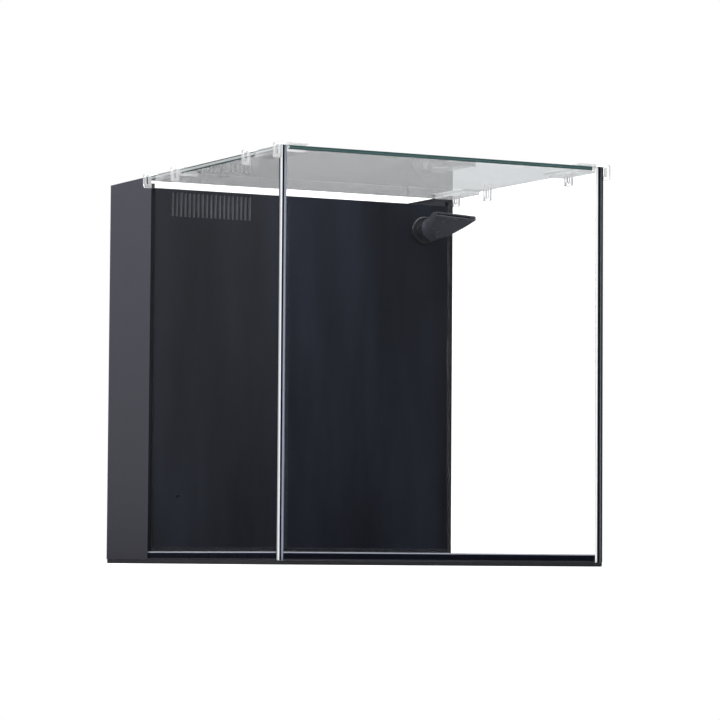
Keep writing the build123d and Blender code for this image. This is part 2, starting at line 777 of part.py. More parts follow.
# Volute cover: round chamber, tangent outlet pipe and an intake eye with a spider for the bushing
eye_face = motor_end + volute_depth
chamber_radius = volute_radius - volute_wall
seal_radius = chamber_radius + seal_section
with BuildPart() as volute_cover:
    with BuildSketch(pump_face):
        Circle(volute_radius)
    extrude(amount=volute_depth + volute_wall)
    with BuildSketch(pump_face):
        RectangleRounded(motor_width, motor_height, motor_corner)
        with GridLocations(screw_spread_y, screw_spread_z, 2, 2):
            Circle(screw_radius + pipe_gap, mode=Mode.SUBTRACT)
    extrude(amount=volute_wall)
    with BuildSketch(Plane.XY.offset(shaft_z)):
        with Locations((nozzle_x, riser_y)):
            Circle(outlet_radius)
    extrude(amount=outlet_top - shaft_z)
    with BuildSketch(pump_face):
        Circle(chamber_radius)
    extrude(amount=volute_depth, mode=Mode.SUBTRACT)
    with BuildSketch(pump_face):
        Circle(seal_radius + seal_section)
        Circle(seal_radius, mode=Mode.SUBTRACT)
    extrude(amount=seal_section, mode=Mode.SUBTRACT)
    with BuildSketch(Plane.XY.offset(shaft_z)):
        with Locations((nozzle_x, riser_y)):
            Circle(outlet_bore)
    extrude(amount=outlet_top - shaft_z, mode=Mode.SUBTRACT)
    with BuildSketch(pump_face.offset(volute_depth)):
        Circle(eye_radius)
    extrude(amount=volute_wall, mode=Mode.SUBTRACT)
    with BuildSketch(pump_face.offset(volute_depth - bushing_length)):
        Circle(bushing_radius + spider_wall)
        with PolarLocations((bushing_radius + eye_radius + spider_wall) / 2, spider_arms):
            Rectangle(eye_radius - bushing_radius + spider_wall, spider_wall)
        Circle(bushing_radius, mode=Mode.SUBTRACT)
    extrude(amount=bushing_length + volute_wall)
volute_cover.part.label = "volute_cover"
export_step(volute_cover.part, "parts/volute_cover.step")

# Four screws hold the volute's flange to the motor housing
with BuildPart() as cover_screws:
    with BuildSketch(pump_face.offset(volute_wall)):
        with GridLocations(screw_spread_y, screw_spread_z, 2, 2):
            Circle(screw_head_radius)
    extrude(amount=screw_head_height)
    with BuildSketch(pump_face.offset(volute_wall + screw_head_height)):
        with GridLocations(screw_spread_y, screw_spread_z, 2, 2):
            RegularPolygon(screw_drive, 6)
    extrude(amount=-screw_recess, mode=Mode.SUBTRACT)
    with BuildSketch(pump_face.offset(volute_wall)):
        with GridLocations(screw_spread_y, screw_spread_z, 2, 2):
            Circle(screw_radius)
    extrude(amount=-screw_depth - volute_wall)
cover_screws.part.label = "cover_screws"
export_step(cover_screws.part, "parts/cover_screws.step")

# Seal ring between the motor housing and the volute
with BuildPart() as pump_seal_ring:
    with BuildSketch(pump_face):
        Circle(seal_radius + seal_section)
        Circle(seal_radius, mode=Mode.SUBTRACT)
    extrude(amount=seal_section)
pump_seal_ring.part.label = "pump_seal_ring"
export_step(pump_seal_ring.part, "parts/pump_seal_ring.step")

# Slotted strainer over the eye, and the flow dial that turns on its end
strainer_back = eye_face + volute_wall
strainer_face = Plane(origin=(strainer_back, shaft_y, shaft_z), x_dir=(0, 1, 0), z_dir=(1, 0, 0))
with BuildPart() as intake_strainer:
    with BuildSketch(strainer_face):
        Circle(strainer_radius)
    extrude(amount=strainer_length)
    with BuildSketch(strainer_face):
        Circle(strainer_radius - strainer_wall)
    extrude(amount=strainer_length - strainer_wall, mode=Mode.SUBTRACT)
    slot_middle = strainer_back + strainer_length / 2
    for step in range(strainer_slots):
        turn = 360 * step / strainer_slots
        outwards = Vector(0, 1, 0).rotate(Axis.X, turn)
        centre = Vector(slot_middle, shaft_y, shaft_z) + outwards * (strainer_radius - 2 * strainer_wall)
        with BuildSketch(Plane(origin=centre, x_dir=(1, 0, 0), z_dir=outwards)):
            Rectangle(strainer_slot_length, strainer_slot_width)
        extrude(amount=3 * strainer_wall, mode=Mode.SUBTRACT)
    with BuildSketch(strainer_face.offset(strainer_length - strainer_wall)):
        Circle(dial_hub_radius)
        with PolarLocations(window_circle, window_count):
            Circle(window_radius)
    extrude(amount=strainer_wall, mode=Mode.SUBTRACT)
intake_strainer.part.label = "intake_strainer"
export_step(intake_strainer.part, "parts/intake_strainer.step")

dial_plane = strainer_face.offset(strainer_length + dial_gap)
with BuildPart() as flow_dial:
    with BuildSketch(dial_plane):
        Circle(dial_radius)
        with PolarLocations(window_circle, window_count):
            Circle(window_radius, mode=Mode.SUBTRACT)
    extrude(amount=dial_thickness)
    with BuildSketch(dial_plane.offset(dial_thickness)):
        SlotOverall(2 * dial_radius - dial_grip_width, dial_grip_width, rotation=dial_grip_angle)
    extrude(amount=dial_grip_height)
    with BuildSketch(dial_plane.offset(-dial_gap - strainer_wall - dial_gap)):
        Circle(dial_hub_radius - turn_gap)
    extrude(amount=2 * dial_gap + strainer_wall)
    with BuildSketch(dial_plane.offset(-2 * dial_gap - 2 * strainer_wall)):
        Circle(dial_hub_radius + dial_barb)
    extrude(amount=strainer_wall)
flow_dial.part.label = "flow_dial"
export_step(flow_dial.part, "parts/flow_dial.step")

# Cord gland on top of the motor, bored for the mains lead
with BuildPart() as cord_gland:
    with BuildSketch(Plane.XY.offset(motor_top)):
        with Locations((gland_x, shaft_y)):
            Circle(gland_radius)
    with BuildSketch(Plane.XY.offset(motor_top + gland_length)):
        with Locations((gland_x, shaft_y)):
            Circle(gland_tip_radius)
    loft()
    with BuildSketch(Plane.XY.offset(motor_top)):
        with Locations((gland_x, shaft_y)):
            Circle(gland_plug_radius)
    extrude(amount=-gland_plug_depth)
    with BuildSketch(Plane.XY.offset(motor_top + gland_length)):
        with Locations((gland_x, shaft_y)):
            Circle(gland_bore)
    extrude(amount=-gland_length, mode=Mode.SUBTRACT)
cord_gland.part.label = "cord_gland"
export_step(cord_gland.part, "parts/cord_gland.step")

# Media basket: a tall box with an open top, a windowed front and an open grid for a floor
basket_wall_gap = seam_leg + basket_seam_gap
basket_width = intake_chamber - 2 * basket_wall_gap
basket_front = lid_rear + basket_lid_gap
basket_depth = inner_half_depth - basket_wall_gap - basket_front
basket_x = -inner_half_width + basket_wall_gap + basket_width / 2
basket_y = basket_front + basket_depth / 2
basket_foot = floor_top + basket_foot_gap
basket_bottom = basket_foot + basket_leg
basket_top = basket_bottom + basket_body
cavity_width = basket_width - 2 * basket_wall
cavity_depth = basket_depth - 2 * basket_wall
rail_width = cavity_width - 2 * shelf_rail
window_width = (cavity_width - (basket_windows - 1) * basket_window_bar) / basket_windows
with BuildPart() as media_basket:
    with BuildSketch(Plane.XY.offset(basket_bottom)):
        with Locations((basket_x, basket_y)):
            RectangleRounded(basket_width, basket_depth, basket_corner)
    extrude(amount=basket_body)
    with BuildSketch(Plane.XY.offset(basket_bottom + basket_wall)):
        with Locations((basket_x, basket_y)):
            Rectangle(cavity_width, cavity_depth)
    extrude(amount=basket_body, mode=Mode.SUBTRACT)
    with BuildSketch(Plane.XY.offset(basket_bottom)):
        with Locations((basket_x, basket_y)):
            with GridLocations(grid_pitch, grid_pitch, grid_columns, grid_rows):
                Rectangle(grid_hole, grid_hole)
    extrude(amount=basket_wall, mode=Mode.SUBTRACT)
    with BuildSketch(Plane.XZ.offset(-basket_y)):
        with Locations((basket_x, basket_top - basket_wall - basket_window_height / 2)):
            with GridLocations(window_width + basket_window_bar, 0, basket_windows, 1):
                Rectangle(window_width, basket_window_height)
    extrude(amount=basket_depth, mode=Mode.SUBTRACT)
    # Rails under the two shelves, on the left and right walls
    for shelf_height in (lower_shelf, upper_shelf):
        with BuildSketch(Plane.XY.offset(basket_bottom + shelf_height - shelf_rail)):
            with Locations((basket_x, basket_y)):
                Rectangle(cavity_width, cavity_depth)
                Rectangle(rail_width, cavity_depth, mode=Mode.SUBTRACT)
        extrude(amount=shelf_rail)
    # Legs let the water out under the basket
    with BuildSketch(Plane.XY.offset(basket_foot)):
        with Locations((basket_x, basket_y)):
            with GridLocations(basket_width - basket_leg_side, basket_depth - basket_leg_side, 2, 2):
                RectangleRounded(basket_leg_side, basket_leg_side, basket_corner)
    extrude(amount=basket_leg)
    # Arched handle across the top, from wall to wall
    with BuildSketch(Plane.YZ.offset(basket_x - handle_width / 2)) as handle:
        with Locations((basket_y, basket_top + handle_rise / 2)):
            Rectangle(basket_depth, handle_rise)
        fillet(handle.vertices().group_by(Axis.Y)[-1], handle_corner)
        with Locations((basket_y, basket_top + (handle_rise - handle_section) / 2)):
            Rectangle(cavity_depth, handle_rise - handle_section, mode=Mode.SUBTRACT)
    extrude(amount=handle_width)
media_basket.part.label = "media_basket"
export_step(media_basket.part, "parts/media_basket.step")

# Two lift-out shelves on the rails, each an open grid
with BuildPart() as basket_shelves:
    for shelf_height in (lower_shelf, upper_shelf):
        with BuildSketch(Plane.XY.offset(basket_bottom + shelf_height)):
            with Locations((basket_x, basket_y)):
                Rectangle(cavity_width - 2 * shelf_gap, cavity_depth - 2 * shelf_gap)
                with GridLocations(grid_pitch, grid_pitch, grid_columns, grid_rows):
                    Rectangle(grid_hole, grid_hole, mode=Mode.SUBTRACT)
        extrude(amount=shelf_thickness)
basket_shelves.part.label = "basket_shelves"
export_step(basket_shelves.part, "parts/basket_shelves.step")

# Filter media from the bottom up: porous ceramic block, pouch of carbon, floss pad
media_width = rail_width - 2 * media_gap
media_depth = cavity_depth - 2 * media_gap
with BuildPart() as bio_block:
    with BuildSketch(Plane.XY.offset(basket_bottom + basket_wall)):
        with Locations((basket_x, basket_y)):
            Rectangle(media_width, media_depth)
    extrude(amount=bio_block_height)
    chamfer(bio_block.edges(), media_gap)
bio_block.part.label = "bio_block"
export_step(bio_block.part, "parts/bio_block.step")

pouch_bottom = basket_bottom + lower_shelf + shelf_thickness
with BuildPart() as carbon_pouch:
    with BuildSketch(Plane.XY.offset(pouch_bottom)):
        with Locations((basket_x, basket_y)):
            Rectangle(media_width, media_depth)
    extrude(amount=pouch_height)
    chamfer(carbon_pouch.edges(), pouch_edge)
carbon_pouch.part.label = "carbon_pouch"
export_step(carbon_pouch.part, "parts/carbon_pouch.step")

floss_bottom = basket_bottom + upper_shelf + shelf_thickness
with BuildPart() as floss_pad:
    with BuildSketch(Plane.XY.offset(floss_bottom)):
        with Locations((basket_x, basket_y)):
            Rectangle(cavity_width - 2 * media_gap, media_depth)
    extrude(amount=floss_height)
    chamfer(floss_pad.edges(), floss_edge)
floss_pad.part.label = "floss_pad"
export_step(floss_pad.part, "parts/floss_pad.step")
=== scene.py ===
# Nano aquarium: the looks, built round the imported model. Metres, +Z up, the front pane faces -Y.
import bpy
import json
from math import radians
from mathutils import Matrix, Vector


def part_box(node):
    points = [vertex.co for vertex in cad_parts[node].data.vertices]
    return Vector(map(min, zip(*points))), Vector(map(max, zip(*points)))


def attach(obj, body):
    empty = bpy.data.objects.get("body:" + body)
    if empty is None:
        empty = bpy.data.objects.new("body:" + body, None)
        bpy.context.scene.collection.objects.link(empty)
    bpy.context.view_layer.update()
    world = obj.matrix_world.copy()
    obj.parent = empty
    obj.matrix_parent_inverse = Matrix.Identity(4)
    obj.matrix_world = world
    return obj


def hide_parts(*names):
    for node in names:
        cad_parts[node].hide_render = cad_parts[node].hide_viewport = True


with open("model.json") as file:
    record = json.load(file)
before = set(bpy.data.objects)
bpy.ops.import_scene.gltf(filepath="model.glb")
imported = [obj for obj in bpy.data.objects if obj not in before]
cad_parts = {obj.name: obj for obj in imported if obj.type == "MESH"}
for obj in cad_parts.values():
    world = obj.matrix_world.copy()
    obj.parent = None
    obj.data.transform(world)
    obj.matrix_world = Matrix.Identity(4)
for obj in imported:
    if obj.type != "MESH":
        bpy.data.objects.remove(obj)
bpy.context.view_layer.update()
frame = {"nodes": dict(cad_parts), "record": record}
nodes = frame["nodes"]
scene = bpy.context.scene
bodyOf = {node: body for body, members in frame["record"]["behaviour"]["bodies"].items() for node in members}
slotOf = {entry["node"]: entry["material_slot"] for entry in frame["record"]["subparts"]}
print("frame loaded:", len(nodes), "nodes")


def deselectAll():
    if bpy.context.mode != "OBJECT":
        bpy.ops.object.mode_set(mode="OBJECT")
    bpy.ops.object.select_all(action="DESELECT")


def pick(piece):
    deselectAll()
    piece.select_set(True)
    bpy.context.view_layer.objects.active = piece


# Shader graphs: each helper adds a node or two and hands back what comes out
def feed(tree, socket, value):
    if hasattr(value, "is_linked"):
        tree.links.new(value, socket)
    else:
        socket.default_value = value


def mathOn(tree, operation, *values):
    step = tree.nodes.new("ShaderNodeMath")
    step.operation = operation
    for socket, value in zip(step.inputs, values):
        feed(tree, socket, value)
    return step.outputs[0]


def rampOn(tree, source, low, high, lowValue, highValue):
    ramp = tree.nodes.new("ShaderNodeMapRange")
    feed(tree, ramp.inputs["Value"], source)
    feed(tree, ramp.inputs["From Min"], low)
    feed(tree, ramp.inputs["From Max"], high)
    feed(tree, ramp.inputs["To Min"], lowValue)
    feed(tree, ramp.inputs["To Max"], highValue)
    return ramp.outputs["Result"]


def dotOn(tree, vector, direction):
    product = tree.nodes.new("ShaderNodeVectorMath")
    product.operation = "DOT_PRODUCT"
    product.inputs[1].default_value = direction
    tree.links.new(vector, product.inputs[0])
    return product.outputs["Value"]


def scaleOn(tree, color, factor):
    scaled = tree.nodes.new("ShaderNodeVectorMath")
    scaled.operation = "SCALE"
    tree.links.new(color, scaled.inputs[0])
    tree.links.new(factor, scaled.inputs["Scale"])
    return scaled.outputs["Vector"]


def colorMixOn(tree, factor, first, second):
    mix = tree.nodes.new("ShaderNodeMix")
    mix.data_type = "RGBA"
    feed(tree, mix.inputs["Factor"], factor)
    feed(tree, mix.inputs["A"], first)
    feed(tree, mix.inputs["B"], second)
    return mix.outputs["Result"]


def shaderMixOn(tree, factor, first, second):
    mix = tree.nodes.new("ShaderNodeMixShader")
    tree.links.new(factor, mix.inputs["Fac"])
    tree.links.new(first, mix.inputs[1])
    tree.links.new(second, mix.inputs[2])
    return mix.outputs[0]


def coordinatesOn(tree, kind="Object"):
    return tree.nodes.new("ShaderNodeTexCoord").outputs[kind]


def partsOf(tree, kind="Object"):
    parts = tree.nodes.new("ShaderNodeSeparateXYZ")
    tree.links.new(coordinatesOn(tree, kind), parts.inputs[0])
    return parts.outputs


def noiseOn(tree, scale, detail, roughness=0.5, stretch=(1, 1, 1)):
    mapping = tree.nodes.new("ShaderNodeMapping")
    mapping.inputs["Scale"].default_value = stretch
    noise = tree.nodes.new("ShaderNodeTexNoise")
    noise.inputs["Scale"].default_value = scale
    noise.inputs["Detail"].default_value = detail
    noise.inputs["Roughness"].default_value = roughness
    tree.links.new(coordinatesOn(tree), mapping.inputs["Vector"])
    tree.links.new(mapping.outputs["Vector"], noise.inputs["Vector"])
    return noise.outputs["Fac"]


def bandOn(tree, source, stops):
    # A run of colours along one coordinate, with a stop at each of the given places
    ramp = tree.nodes.new("ShaderNodeValToRGB")
    low = stops[0][0]
    high = stops[-1][0]
    elements = ramp.color_ramp.elements
    while len(elements) < len(stops):
        elements.new(0.5)
    for element, (place, color) in zip(elements, stops):
        element.position = (place - low) / (high - low)
        element.color = (*color, 1)
    tree.links.new(rampOn(tree, source, low, high, 0.0, 1.0), ramp.inputs["Fac"])
    return ramp.outputs["Color"]


def colorsOn(tree, source, low, high, lowColor, highColor):
    ramp = tree.nodes.new("ShaderNodeValToRGB")
    ramp.color_ramp.elements[0].position = low
    ramp.color_ramp.elements[0].color = (*lowColor, 1)
    ramp.color_ramp.elements[1].position = high
    ramp.color_ramp.elements[1].color = (*highColor, 1)
    tree.links.new(source, ramp.inputs["Fac"])
    return ramp.outputs["Color"]


def bumpOn(tree, shader, source, strength, distance):
    bump = tree.nodes.new("ShaderNodeBump")
    bump.inputs["Strength"].default_value = strength
    bump.inputs["Distance"].default_value = distance
    tree.links.new(source, bump.inputs["Height"])
    tree.links.new(bump.outputs["Normal"], shader.inputs["Normal"])


def rayIs(tree, first, second):
    path = tree.nodes.new("ShaderNodeLightPath").outputs
    return mathOn(tree, "MAXIMUM", path[first], path[second])


def rayWasMirrored(tree):
    # Glossy Depth counts the mirrors that the ray has met on its way
    path = tree.nodes.new("ShaderNodeLightPath").outputs
    return mathOn(tree, "GREATER_THAN", path["Glossy Depth"], 0.5)


def backgroundOn(tree, color, strength):
    background = tree.nodes.new("ShaderNodeBackground")
    background.inputs["Color"].default_value = (*color, 1)
    feed(tree, background.inputs["Strength"], strength)
    return background.outputs[0]


# Camera at the photograph's viewing angle, just above the table and level with the tank's foot
camera = {
    "place": (-1.5503, -2.9828, 0.0025),
    "heading": -27.652,
    "pitch": 3.451,
    "roll": 0.399,
    "lens": 167.9,
    "sensor": 36.0,
    "levelTurn": 90,
    "clipEnd": 100,
}
bpy.ops.object.camera_add()
cameraObject = bpy.context.object
cameraObject.name = "camera"
cameraObject.matrix_world = (
    Matrix.Translation(camera["place"])
    @ Matrix.Rotation(radians(camera["heading"]), 4, "Z")
    @ Matrix.Rotation(radians(camera["levelTurn"] + camera["pitch"]), 4, "X")
    @ Matrix.Rotation(radians(camera["roll"]), 4, "Z")
)
cameraObject.data.lens = camera["lens"]
cameraObject.data.sensor_fit = "HORIZONTAL"
cameraObject.data.sensor_width = camera["sensor"]
cameraObject.data.clip_end = camera["clipEnd"]
scene.camera = cameraObject
scene.view_settings.view_transform = "Standard"

# Soft studio light: the background is white to the eye and through glass, the lamps stand where no pane
# mirrors them, and what is seen in a mirror image is a dim room with a white backdrop and ceiling
studio = {
    "seen": 1.0,
    "seenThroughGlass": 1.72,
    "ambient": (0.93, 0.96, 1.0),
    "ambientStrength": 0.34,
    "mirroredLow": 0.03,
    "mirroredHigh": 0.105,
    "mirroredRise": 0.12,
    "mirroredWhite": 0.55,
    "ceilingStarts": 0.25,
    "ceilingFull": 0.8,
    "backdropTowards": (0.464, 0.886, 0.0),
    "backdropStarts": 0.86,
    "backdropFull": 0.93,
    "lamps": [
        {"name": "topLamp", "place": (-0.3, -0.3, 2.4), "aim": (0, 0.05, 0.2), "size": 2.2, "power": 38},
        {"name": "leftLamp", "place": (-2.7, -0.5, 1.5), "aim": (0, 0, 0.2), "size": 1.8, "power": 24},
        {"name": "frontLamp", "place": (-2.0, -3.2, 1.9), "aim": (0, 0, 0.2), "size": 1.4, "power": 16},
    ],
}
world = bpy.data.worlds.new("studio")
scene.world = world
world.use_nodes = True
tree = world.node_tree
tree.nodes.clear()
height = partsOf(tree, "Generated")["Z"]
facing = dotOn(tree, coordinatesOn(tree, "Generated"), studio["backdropTowards"])
ceiling = rampOn(tree, height, studio["ceilingStarts"], studio["ceilingFull"], 0.0, 1.0)
backdrop = rampOn(tree, facing, studio["backdropStarts"], studio["backdropFull"], 0.0, 1.0)
white = mathOn(tree, "MAXIMUM", ceiling, backdrop)
dimRoom = rampOn(tree, height, 0.0, studio["mirroredRise"], studio["mirroredLow"], studio["mirroredHigh"])
mirroredLevel = rampOn(tree, white, 0.0, 1.0, dimRoom, studio["mirroredWhite"])
fromCamera = tree.nodes.new("ShaderNodeLightPath").outputs["Is Camera Ray"]
seenLevel = rampOn(tree, fromCamera, 0.0, 1.0, studio["seenThroughGlass"], studio["seen"])
lit = backgroundOn(tree, studio["ambient"], studio["ambientStrength"])
seen = backgroundOn(tree, (1, 1, 1), seenLevel)
mirrored = backgroundOn(tree, studio["ambient"], mirroredLevel)
inView = shaderMixOn(tree, rayIs(tree, "Is Camera Ray", "Is Transmission Ray"), lit, seen)
worldOutput = tree.nodes.new("ShaderNodeOutputWorld")
tree.links.new(shaderMixOn(tree, rayWasMirrored(tree), inView, mirrored), worldOutput.inputs["Surface"])

for lamp in studio["lamps"]:
    bpy.ops.object.light_add(type="AREA", location=lamp["place"])
    lampObject = bpy.context.object
    lampObject.name = lamp["name"]
    lampObject.data.shape = "SQUARE"
    lampObject.data.size = lamp["size"]
    lampObject.data.energy = lamp["power"]
    direction = Vector(lamp["aim"]) - Vector(lamp["place"])
    lampObject.rotation_euler = direction.to_track_quat("-Z", "Y").to_euler()
print("camera and lamps placed")

# Materials: each starts from one Principled shader, with its pattern on Object coordinates
patterns = {
    "cloudDetail": 5.0, "cloudRoughness": 0.6, "cloudFrom": 0.3, "cloudTo": 0.7,
    "smearDetail": 3.0, "smearFrom": 0.45, "smearTo": 0.75,
    "waveDetail": 1.0, "waveDepth": 0.001,
    "grainDetail": 2.0, "grainDepth": 0.0002,
    "tankTop": 0.39,
}


def startMaterial(name, finish):
    material = bpy.data.materials.new(name)
    material.use_nodes = True
    tree = material.node_tree
    shader = tree.nodes["Principled BSDF"]
    shader.inputs["Base Color"].default_value = (*finish["color"], 1)
    shader.inputs["Roughness"].default_value = finish["roughness"]
    shader.inputs["IOR"].default_value = finish.get("ior", 1.5)
    shader.inputs["Specular IOR Level"].default_value = finish.get("gloss", 0.5)
    return material, tree, shader


def shadeWith(tree, surface):
    tree.links.new(surface, tree.nodes["Material Output"].inputs["Surface"])


def grainOn(tree, shader, finish):
    stretch = finish.get("grainStretch", (1, 1, 1))
    grain = noiseOn(tree, finish["grainScale"], patterns["grainDetail"], stretch=stretch)
    bumpOn(tree, shader, grain, finish["grain"], finish.get("grainDepth", patterns["grainDepth"]))


def letLightThrough(tree, shader):
    # Lamps and soft light pass the clear piece straight, so that what is behind it is lit
    straight = tree.nodes.new("ShaderNodeBsdfTransparent").outputs[0]
    lighting = rayIs(tree, "Is Shadow Ray", "Is Diffuse Ray")
    shadeWith(tree, shaderMixOn(tree, lighting, shader.outputs[0], straight))


def clearMaterial(name, finish):
    material, tree, shader = startMaterial(name, finish)
    shader.inputs["Transmission Weight"].default_value = 1.0 - finish.get("milk", 0.0)
    shader.inputs["Emission Color"].default_value = (1, 1, 1, 1)
    # Painted light: this emission stands for light scattered inside a clear moulding, which is no lamp
    shader.inputs["Emission Strength"].default_value = finish.get("paintedGlow", 0.0)
    smears = noiseOn(tree, finish["smearScale"], patterns["smearDetail"])
    span = (patterns["smearFrom"], patterns["smearTo"])
    roughness = rampOn(tree, smears, *span, finish["roughness"], finish["smeared"])
    tree.links.new(roughness, shader.inputs["Roughness"])
    if finish.get("wave"):
        waves = noiseOn(tree, finish["waveScale"], patterns["waveDetail"])
        bumpOn(tree, shader, waves, finish["wave"], patterns["waveDepth"])
    if finish.get("density"):
        volume = tree.nodes.new("ShaderNodeVolumeAbsorption")
        volume.inputs["Color"].default_value = (*finish["depthColor"], 1)
        volume.inputs["Density"].default_value = finish["density"]
        tree.links.new(volume.outputs[0], tree.nodes["Material Output"].inputs["Volume"])
    letLightThrough(tree, shader)
    return material


def solidMaterial(name, finish):
    material, tree, shader = startMaterial(name, finish)
    cloud = noiseOn(tree, finish["cloudScale"], patterns["cloudDetail"], patterns["cloudRoughness"],
                    finish.get("stretch", (1, 1, 1)))
    span = (patterns["cloudFrom"], patterns["cloudTo"])
    colors = colorsOn(tree, cloud, *span, finish["color"], finish["cloud"])
    # Painted light by height: the colour is scaled from the floor to the tank's top
    if finish.get("paintedLightByHeight"):
        paintedHeightScale = rampOn(tree, partsOf(tree)["Z"], 0.0, patterns["tankTop"], *finish["paintedLightByHeight"])
        colors = scaleOn(tree, colors, paintedHeightScale)
    tree.links.new(colors, shader.inputs["Base Color"])
    roughness = rampOn(tree, cloud, *span, finish["roughness"], finish["rougher"])
    tree.links.new(roughness, shader.inputs["Roughness"])
    grainOn(tree, shader, finish)
    return material


finishes = {
    "clear_glass": {
        "kind": "clear", "color": (1.0, 1.0, 1.0), "roughness": 0.0, "smeared": 0.012, "smearScale": 14,
        "depthColor": (0.62, 0.86, 0.9), "density": 1.4,
    },
    "lid_glass": {
        "kind": "clear", "color": (1.0, 1.0, 1.0), "roughness": 0.02, "smeared": 0.045, "smearScale": 18,
        "gloss": 0.42, "depthColor": (0.3, 0.62, 0.6), "density": 9.0,
    },
    # The clear plastic's emission value is painted light
    "clear_plastic": {
        "kind": "clear", "color": (1.0, 1.0, 1.0), "roughness": 0.02, "smeared": 0.08, "smearScale": 160,
        "ior": 1.38, "wave": 0.1, "waveScale": 240, "milk": 0.22, "paintedGlow": 0.1,
    },
    "clear_silicone": {
        "kind": "clear", "color": (0.9, 0.93, 0.95), "roughness": 0.02, "smeared": 0.06, "smearScale": 120,
        "ior": 1.41,
    },
    "black_silicone": {
        "kind": "solid", "color": (0.008, 0.009, 0.012), "cloud": (0.014, 0.015, 0.02), "cloudScale": 60,
        "roughness": 0.1, "rougher": 0.22, "grainScale": 260, "grain": 0.3, "gloss": 0.22,
    },
    # black_acrylic and black_film scale their colour by height as painted light: the partition a little
    # lighter at its foot, the film twice as light at its top
    "black_acrylic": {
        "kind": "solid", "color": (0.005, 0.0062, 0.0125), "cloud": (0.0215, 0.0255, 0.044), "cloudScale": 9,
        "paintedLightByHeight": (1.12, 1.0), "stretch": (1.8, 1.8, 0.3), "roughness": 0.36, "rougher": 0.5,
        "grainScale": 900, "grain": 0.06, "gloss": 0.3,
    },
    "black_film": {
        "kind": "solid", "color": (0.044, 0.044, 0.056), "cloud": (0.062, 0.062, 0.076), "cloudScale": 620,
        "roughness": 0.46, "rougher": 0.56, "grainScale": 900, "grain": 0.5, "paintedLightByHeight": (1.05, 2.0),
    },
    "foam": {
        "kind": "solid", "color": (0.02, 0.02, 0.024), "cloud": (0.045, 0.045, 0.05), "cloudScale": 500,
        "roughness": 0.8, "rougher": 0.95, "grainScale": 900, "grain": 0.7, "grainDepth": 0.0006,
    },
    "black_plastic": {
        "kind": "solid", "color": (0.026, 0.026, 0.032), "cloud": (0.036, 0.036, 0.044), "cloudScale": 45,
        "roughness": 0.2, "rougher": 0.3, "grainScale": 1800, "grain": 0.08,
    },
    # The nozzle's black plastic, made lighter than the other black plastic as a painted reflection of the
    # white floor on its flats
    "nozzle_plastic_painted_light": {
        "kind": "solid", "color": (0.095, 0.095, 0.118), "cloud": (0.11, 0.11, 0.135), "cloudScale": 40,
        "roughness": 0.22, "rougher": 0.3, "grainScale": 1800, "grain": 0.06,
    },
    "rubber": {
        "kind": "solid", "color": (0.02, 0.02, 0.02), "cloud": (0.032, 0.032, 0.032), "cloudScale": 120,
        "roughness": 0.55, "rougher": 0.75, "grainScale": 1200, "grain": 0.25,
    },
    "pipe_plastic": {
        "kind": "solid", "color": (0.045, 0.045, 0.05), "cloud": (0.06, 0.06, 0.066), "cloudScale": 40,
        "stretch": (1, 1, 0.1), "roughness": 0.32, "rougher": 0.45, "grainScale": 900, "grain": 0.1,
    },
    "ceramic_white": {
        "kind": "solid", "color": (0.78, 0.76, 0.7), "cloud": (0.86, 0.84, 0.8), "cloudScale": 300,
        "roughness": 0.22, "rougher": 0.35, "grainScale": 2000, "grain": 0.1,
    },
    "bio_ceramic": {
        "kind": "solid", "color": (0.5, 0.42, 0.33), "cloud": (0.78, 0.72, 0.62), "cloudScale": 260,
        "roughness": 0.85, "rougher": 0.95, "grainScale": 700, "grain": 0.9, "grainDepth": 0.001,
    },
    "magnet": {
        "kind": "solid", "color": (0.04, 0.04, 0.045), "cloud": (0.07, 0.07, 0.075), "cloudScale": 200,
        "roughness": 0.22, "rougher": 0.36, "grainScale": 1400, "grain": 0.1,
    },
    "screw_steel": {
        "kind": "solid", "color": (0.55, 0.55, 0.56), "cloud": (0.68, 0.68, 0.69), "cloudScale": 600,
        "roughness": 0.24, "rougher": 0.4, "grainScale": 3000, "grain": 0.15,
    },
    "floss": {
        "kind": "solid", "color": (0.8, 0.84, 0.87), "cloud": (0.93, 0.95, 0.96), "cloudScale": 220,
        "roughness": 0.9, "rougher": 1.0, "grainScale": 900, "grain": 0.9, "grainDepth": 0.0015,
    },
    "carbon_mesh": {
        "kind": "solid", "color": (0.012, 0.012, 0.012), "cloud": (0.06, 0.06, 0.06), "cloudScale": 420,
        "roughness": 0.6, "rougher": 0.9, "grainScale": 420, "grain": 1.0, "grainDepth": 0.0012,
    },
    "basket_plastic": {
        "kind": "solid", "color": (0.024, 0.024, 0.028), "cloud": (0.036, 0.036, 0.042), "cloudScale": 40,
        "roughness": 0.38, "rougher": 0.52, "grainScale": 1500, "grain": 0.2,
    },
}

